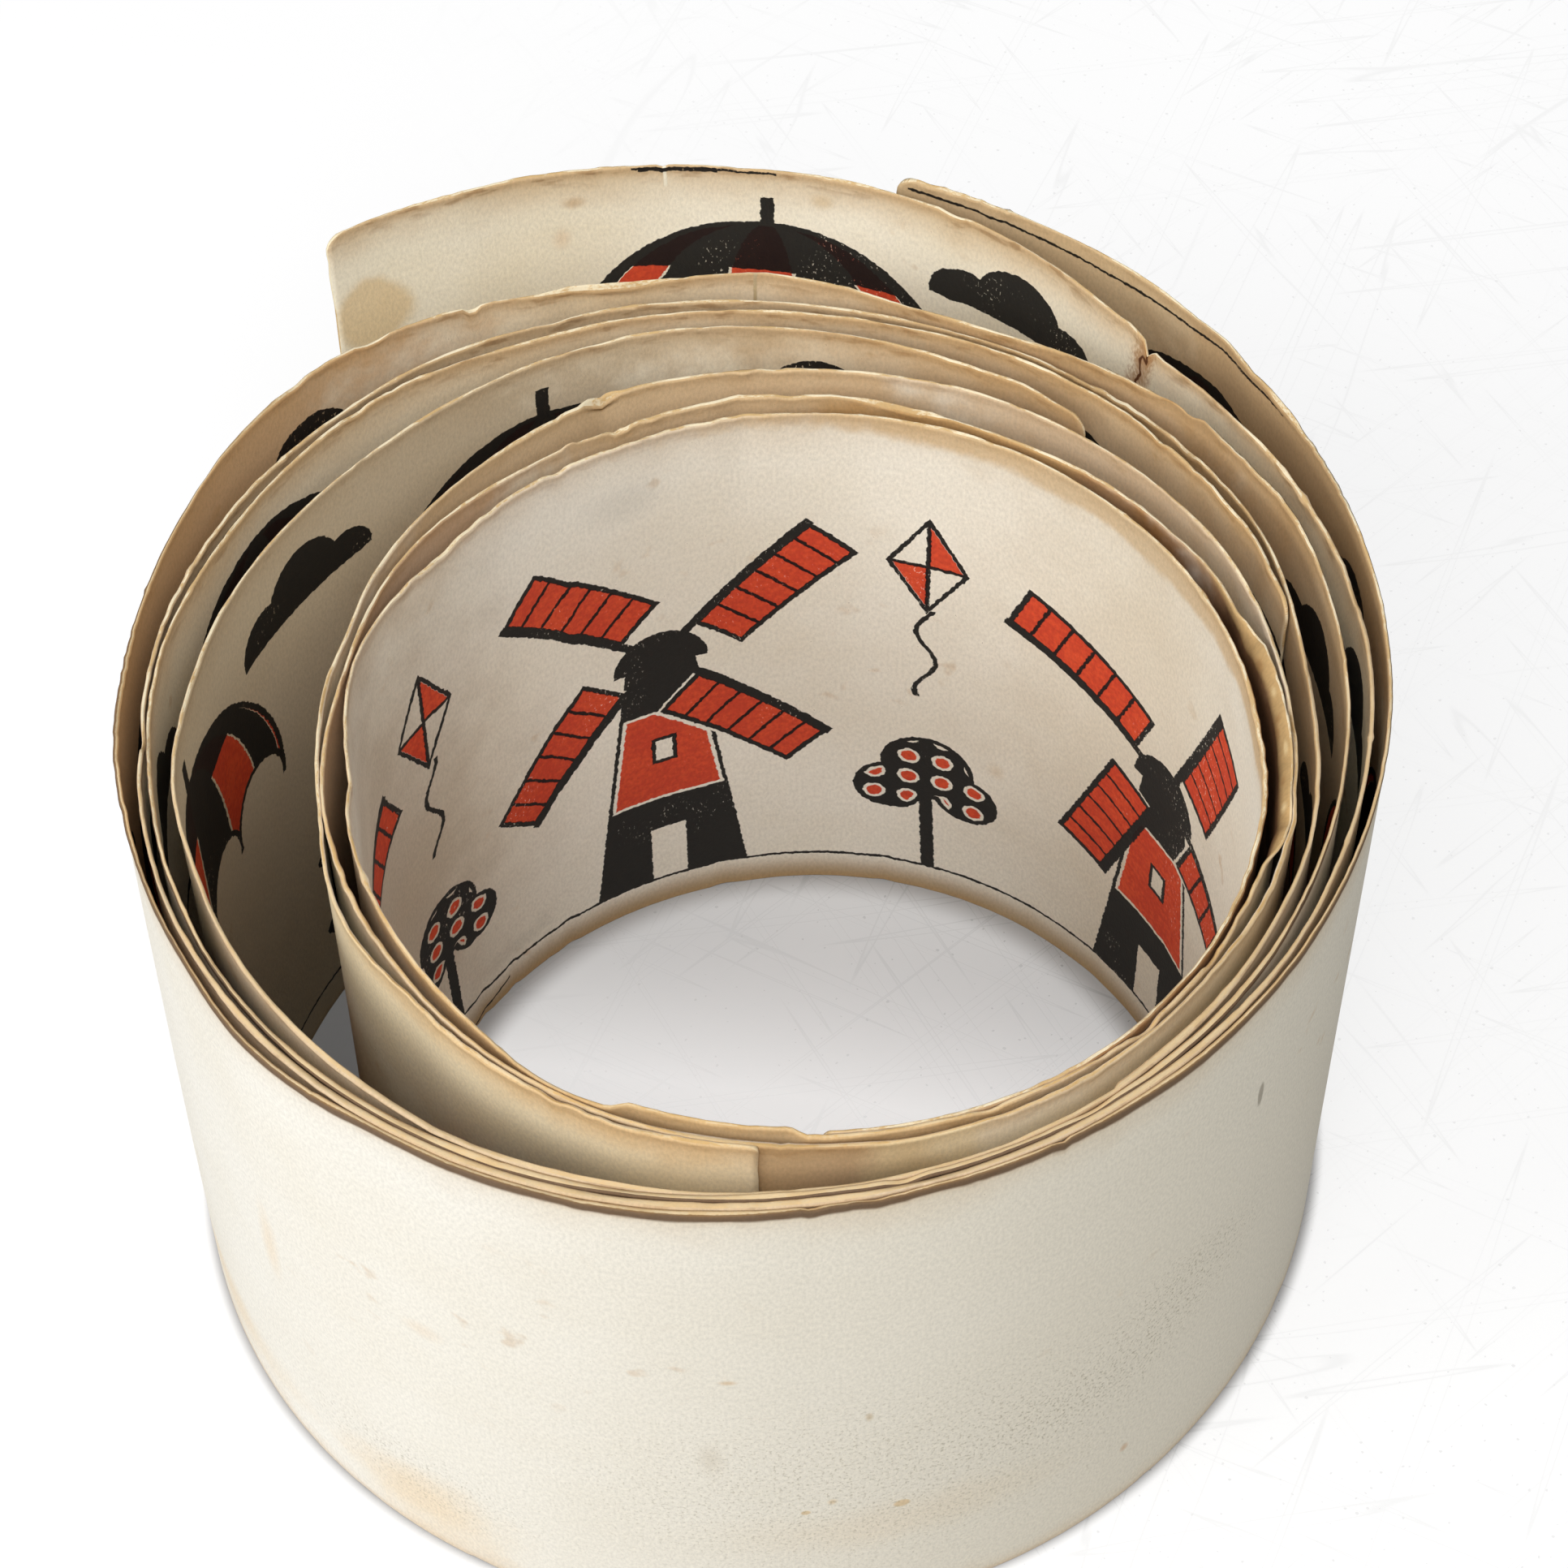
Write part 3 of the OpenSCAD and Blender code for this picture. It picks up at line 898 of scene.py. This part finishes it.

# What each strip looks like: its random seed, and the materials of its inside and outside.
# Stains and specks are at a winding angle and a height, with a half width, a half height, a
# strength and a colour; some broad ones are painted shade or painted light, as marked. Tears
# have a winding angle, a depth, a slant, a halo's strength and a colour, and darker ramps the
# winding angles that they grow between, their strength and their colour
LOOKS = {
    "inner_strip": (
        11,
        dict(picture=windmill, first_at=6.1, print_end=940,
             tones=(rgb(250, 245, 233), rgb(241, 233, 216)), browning=0.35, low=0.9,
             lines=[(141, 2.8, 151, 0)],
             stains_and_painted_shading=[(115, 80, 6, 4, 0.16, GREY), (152, 30, 8, 3, 0.12, GREY),
                     # Painted shade: (362, 70) is the shade in the gap on the right, under the
                     # curled rim
                     (138, 8, 7, 2.5, 0.18, GREY), (362, 70, 36, 40, 0.85, UMBER),
                     (540, 78, 52, 30, 0.62, OCHRE), (422, 84, 26, 9, 0.8, OCHRE),
                     (832, 86, 40, 8, 0.6, TAN), (450, 88, 34, 6, 0.6, TAN),
                     # Painted shade: (361, 82) is the dark band in the shade just under the
                     # curled rim
                     (361, 82, 26, 7.5, 0.85, rgb(100, 68, 38)),
                     (361, 90, 26, 1.7, 0.85, rgb(200, 166, 114)),
                     (772, 87, 36, 8, 0.5, rgb(190, 148, 92)),
                     (25, 89.6, 62, 3.6, 0.65, TAN), (368.3, 89.3, 0.9, 0.5, 0.5, CREAM),
                     (359.6, 89.5, 1.1, 0.4, 0.5, CREAM), (351, 89.2, 0.7, 0.6, 0.5, CREAM),
                     (373, 88.7, 1.1, 0.6, 0.45, UMBER), (364.4, 88.9, 0.7, 0.7, 0.45, UMBER),
                     (362.6, 88.5, 1.3, 0.5, 0.45, UMBER), (355, 89, 0.8, 0.5, 0.4, UMBER),
                     (347, 88.8, 1.5, 0.5, 0.45, UMBER), (342.5, 89.1, 0.6, 0.6, 0.4, UMBER),
                     # Painted shade: the next two darken the face on the left and the face at the
                     # right back, which lie in shade
                     (164, 44, 30, 66, 0.5, rgb(160, 134, 98)),
                     (36, 50, 30, 74, 0.5, rgb(208, 190, 160)),
                     (35, 28, 2.2, 1.2, 0.3, TAN),
                     (60, 30, 1.4, 2, 0.25, TAN), (110, 40, 1, 1.4, 0.3, TAN)]),
        dict(tones=(rgb(246, 240, 223), rgb(236, 225, 200)), browning=0.5,
             stains_and_painted_shading=[(700, 72, 66, 44, 0.5, rgb(236, 212, 168)),
                     (632, 84, 12, 20, 0.7, rgb(182, 142, 90)),
                     (643, 84, 6, 16, 0.6, rgb(234, 214, 170)),
                     # Painted shade: (0, 70) is the shade in the gap on the right
                     (0, 70, 56, 44, 0.85, UMBER), (250, 89, 40, 3, 0.6, TAN),
                     # Painted shade low on the front of the last turn, and painted light along
                     # its top, which catches the light
                     (920, 46, 76, 36, 0.5, rgb(158, 128, 84)),
                     (940, 84, 90, 18, 0.5, rgb(252, 232, 188)),
                     (965, 89.5, 44, 4.5, 0.5, rgb(204, 160, 100)),
                     (576, 75, 5, 1.6, 0.4, rgb(206, 160, 142))]),
    ),
    "middle_strip": (
        23,
        dict(picture=parasol, first_at=38, print_end=862.2,
             tones=(rgb(251, 244, 227), rgb(242, 231, 206)), browning=0.72,
             lines=[(811.5, 89.6, 822.5, 89.6), (816, 89.3, 822, 89.3)],
             stains_and_painted_shading=[(843, 75, 5, 6, 0.6, rgb(216, 182, 122)),
                     # Painted shade: the next two darken the faces on the left and on the right,
                     # which lie in shade
                     (165, 45, 84, 90, 0.7, rgb(196, 176, 146)),
                     (368, 75, 34, 40, 0.6, rgb(184, 152, 110)),
                     (66, 86, 40, 15, 0.5, rgb(188, 146, 90)),
                     (412, 86, 46, 15, 0.5, rgb(188, 146, 90)),
                     (827, 84.8, 1.7, 1.2, 0.5, rgb(190, 146, 88)),
                     (808, 86, 1.8, 1.3, 0.4, rgb(206, 172, 118)),
                     (828, 79, 1.6, 2.4, 0.3, rgb(214, 166, 112)),
                     (790, 66, 2, 1, 0.3, GREY)],
             tears=[(775, 9.5, 2.5, 0.75, BROWN), (820, 3.6, 0, 0, rgb(243, 234, 212))]),
        dict(tones=(rgb(240, 233, 216), rgb(228, 217, 194)), browning=0.45),
    ),
    "outer_strip": (
        37,
        dict(picture=balloon, first_at=30, print_end=880,
             tones=(rgb(244, 235, 216), rgb(231, 217, 190)), browning=0.72,
             lines=[(761, 89, 783, 87.4), (783, 87.4, 801, 88.6)],
             # Painted shade: the next three darken the face on the left, the face near the end
             # that lies in the shade of the middle strip's end, and the face on the right
             stains_and_painted_shading=[(532, 70, 64, 60, 0.75, rgb(206, 164, 114)),
                     (772, 60, 60, 60, 0.7, rgb(210, 182, 140)),
                     (375, 75, 36, 40, 0.6, rgb(190, 160, 120)),
                     (52, 86, 44, 15, 0.5, rgb(188, 146, 90)),
                     # Painted shade: (752, 80) darkens more of the face near the end, in the
                     # shade of the middle strip's end
                     (752, 80, 34, 26, 0.6, rgb(172, 136, 92)),
                     (412, 86, 46, 15, 0.5, rgb(188, 146, 90))],
             tears=[(454, 14, 0.6, 0, rgb(196, 176, 140))]),
        dict(tones=(rgb(247, 244, 236), rgb(241, 236, 224)), browning=0.3, foxing=0.3,
             # The outside grows darker towards the right front
             dark_rim=0.9, darker_ramps=[(560, 680, 0.85, rgb(226, 218, 200))],
             stains_and_painted_shading=[(621, 56.2, 1.2, 0.6, 0.5, rgb(206, 164, 96)),
                     (687, 69.2, 0.5, 2.2, 0.6, rgb(122, 110, 94)),
                     (569, 44.8, 2, 9, 0.3, rgb(238, 206, 160)),
                     (589, 51.5, 3, 2, 0.25, rgb(232, 204, 168)),
                     (670, 12.2, 0.7, 0.9, 0.5, rgb(196, 148, 96)),
                     (548, 8, 30, 6, 0.35, rgb(236, 204, 152)),
                     (619, 39, 1.8, 4.5, 0.3, rgb(196, 182, 160)),
                     (636, 45.8, 0.5, 1, 0.5, rgb(186, 158, 108)),
                     (640, 24, 0.9, 0.7, 0.6, FOX), (629, 25.2, 0.6, 0.5, 0.6, FOX),
                     (632, 27.2, 0.7, 0.8, 0.5, FOX),
                     (586, 8, 14, 9, 0.45, rgb(238, 206, 156)),
                     (640, 20, 22, 6, 0.2, rgb(226, 200, 160))],
             specks=[(679, 42, 20, 13, 0.5), (664, 33, 28, 10, 0.4),
                     (640, 30, 66, 36, 0.42), (585, 14, 26, 14, 0.4)]),
    ),
}


def make_strips():
    for name, (seed, inside, outside) in LOOKS.items():
        obj = strip_mesh(name, seed)
        obj.data.materials.append(printed(name, **inside))
        obj.data.materials.append(blank(name, **outside))
        obj.data.materials.append(cut_edge(name, BROWNED[name]))
        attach(obj, name)
        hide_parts(name)


FLOOR_SIZE, FLOOR_Z = 6.0, -0.00002
ROLL_AT = (0.0057, -0.0155)  # where the roll stands on the floor, in metres
# Scratches on the floor: direction in degrees, shift and width in mm
SCRATCHES = [(8, 0.0, 2.6), (41, 4.0, 1.8), (67, 2.0, 3.0), (118, 9.0, 2.2), (152, 6.0, 1.6)]
SCRATCH_LEN = 0.09
DUST_SCALE = 1500.0


def floor_glow(x, y):
    """How much the floor shines of itself where the camera sees it: white round the roll,
    darker under it, and grey in its open middle, more so at the back. The brighter front of
    the open middle is a painted pool of light."""
    r = dist(x, y)

    def bulge(degrees):
        """1 in one direction from the middle of the roll, 0 in the opposite one."""
        way = math.radians(degrees)
        return (x * math.cos(way) + y * math.sin(way)) / r * 0.5 + 0.5

    wall = bulge(170).power(2.0) * 0.0134 + bulge(165).power(4.0) * 0.006
    wall = wall + bulge(60).power(2.5) * 0.016 + 0.0547
    outside = (r - wall).soft(-0.0004, 0.0016)
    inside = 1.0 - r.soft(0.044, 0.0485)
    # Painted light: the open middle glows brighter towards the front
    front = (1.0 - (y * 0.95 + x * 0.15).soft(-0.008, 0.037)).lo(0.56)
    return outside * 0.6 + inside * (0.25 + front * 0.52) + 0.07


def floor_marks(tree, place):
    """Fine scratches and dust: 1 or more on a mark, 0 elsewhere."""
    def noise(vector, scale):
        tex = tree.nodes.new("ShaderNodeTexNoise")
        tree.links.new(vector, tex.inputs["Vector"])
        tex.inputs["Scale"].default_value = scale
        tex.inputs["Detail"].default_value = 0.0
        return Value(tree, tex.outputs["Fac"])

    marks = noise(place, DUST_SCALE).soft(0.78, 0.82) * 2.0
    for turn, shift, wide in SCRATCHES:
        move = tree.nodes.new("ShaderNodeMapping")
        move.vector_type = "TEXTURE"
        tree.links.new(place, move.inputs[0])
        move.inputs[1].default_value = (shift, shift, 0)
        move.inputs[2].default_value = (0, 0, math.radians(turn))
        move.inputs[3].default_value = (SCRATCH_LEN, wide * MM, 1)
        marks = marks.hi(1.0 - abs(noise(move.outputs[0], 1.0) - 0.68).soft(0.0, 0.02))
    return marks


def make_floor():
    """A pale floor. The camera sees it shine a little, so that it is white with the roll's
    shadow on it, and all other light meets plain pale grey."""
    bpy.ops.mesh.primitive_plane_add(size=FLOOR_SIZE, location=(0, 0, FLOOR_Z))
    floor = bpy.context.active_object
    floor.name = "floor"
    mat = bpy.data.materials.new("floor_white")
    mat.use_nodes = True
    tree = mat.node_tree
    tree.nodes.clear()
    new, link = tree.nodes.new, tree.links.new
    place = new("ShaderNodeNewGeometry").outputs["Position"]
    split = new("ShaderNodeSeparateXYZ")
    link(place, split.inputs[0])
    x, y = (Value(tree, split.outputs[i]) - ROLL_AT[i] for i in (0, 1))
    marked = floor_marks(tree, place) * x.soft(-0.08, 0.03) * 0.45
    tint = new("ShaderNodeMix")
    tint.data_type = "RGBA"
    link(marked.socket, tint.inputs[0])
    tint.inputs[6].default_value = (0.36, 0.36, 0.365, 1)
    tint.inputs[7].default_value = (0.2, 0.2, 0.2, 1)
    seen = new("ShaderNodeBsdfDiffuse")
    link(tint.outputs[2], seen.inputs[0])
    lit = new("ShaderNodeEmission")
    lit.inputs[0].default_value = (1, 1, 1, 1)
    link(floor_glow(x, y).socket, lit.inputs[1])
    both = new("ShaderNodeAddShader")
    link(seen.outputs[0], both.inputs[0])
    link(lit.outputs[0], both.inputs[1])
    real = new("ShaderNodeBsdfDiffuse")
    real.inputs[0].default_value = (0.5, 0.5, 0.5, 1)
    ray = new("ShaderNodeLightPath")
    pick = new("ShaderNodeMixShader")
    link(ray.outputs["Is Camera Ray"], pick.inputs[0])
    link(real.outputs[0], pick.inputs[1])
    link(both.outputs[0], pick.inputs[2])
    out = new("ShaderNodeOutputMaterial")
    link(pick.outputs[0], out.inputs[0])
    floor.data.materials.append(mat)


LAMP_FAR = 1.3  # metres from the origin
LAMP_COLOUR = (1.0, 0.985, 0.955)
SKY_COLOUR, SKY_STRENGTH = (0.97, 0.985, 1.0, 1), 0.42
# Name, azimuth, elevation, size in metres and power of each lamp
LAMPS = [("side_key", 206, 32, 0.7, 6.6), ("front_key", 265, 55, 0.9, 9.6)]


def make_lights():
    world = bpy.data.worlds.new("studio")
    bpy.context.scene.world = world
    world.use_nodes = True
    sky = world.node_tree.nodes["Background"]
    sky.inputs[0].default_value = SKY_COLOUR
    sky.inputs[1].default_value = SKY_STRENGTH
    for name, azimuth, elevation, size, power in LAMPS:
        lamp = bpy.data.lights.new(name, "AREA")
        lamp.shape = "DISK"
        lamp.size = size
        lamp.energy = power
        lamp.color = LAMP_COLOUR
        key = bpy.data.objects.new(name, lamp)
        bpy.context.collection.objects.link(key)
        turn, rise = math.radians(azimuth), math.radians(elevation)
        key.location = (
            LAMP_FAR * math.cos(rise) * math.cos(turn),
            LAMP_FAR * math.cos(rise) * math.sin(turn),
            LAMP_FAR * math.sin(rise),
        )
        key.rotation_euler = (math.pi / 2 - rise, 0, turn + math.pi / 2)


# The camera at the photograph's place, in metres, and how far it is turned down from level
# and about its own axis, in degrees
CAMERA_AT = (0.00338, -0.28357, 0.43913)
CAMERA_DOWN, CAMERA_ROLL = 52.979, -0.779
LENS_MM, SENSOR_MM = 94.53, 36
CLIP_START = 0.01


def make_camera():
    camera = bpy.data.cameras.new("camera")
    camera.lens = LENS_MM
    camera.sensor_width = SENSOR_MM
    camera.clip_start = CLIP_START
    eye = bpy.data.objects.new("camera", camera)
    bpy.context.collection.objects.link(eye)
    tilt, roll = math.radians(90 - CAMERA_DOWN), math.radians(CAMERA_ROLL)
    eye.matrix_world = (
        Matrix.Translation(CAMERA_AT)
        @ Matrix.Rotation(tilt, 4, "X")
        @ Matrix.Rotation(roll, 4, "Z")
    )
    bpy.context.scene.camera = eye


make_camera()
make_strips()
make_floor()
make_lights()
bpy.context.scene.view_settings.view_transform = "Standard"
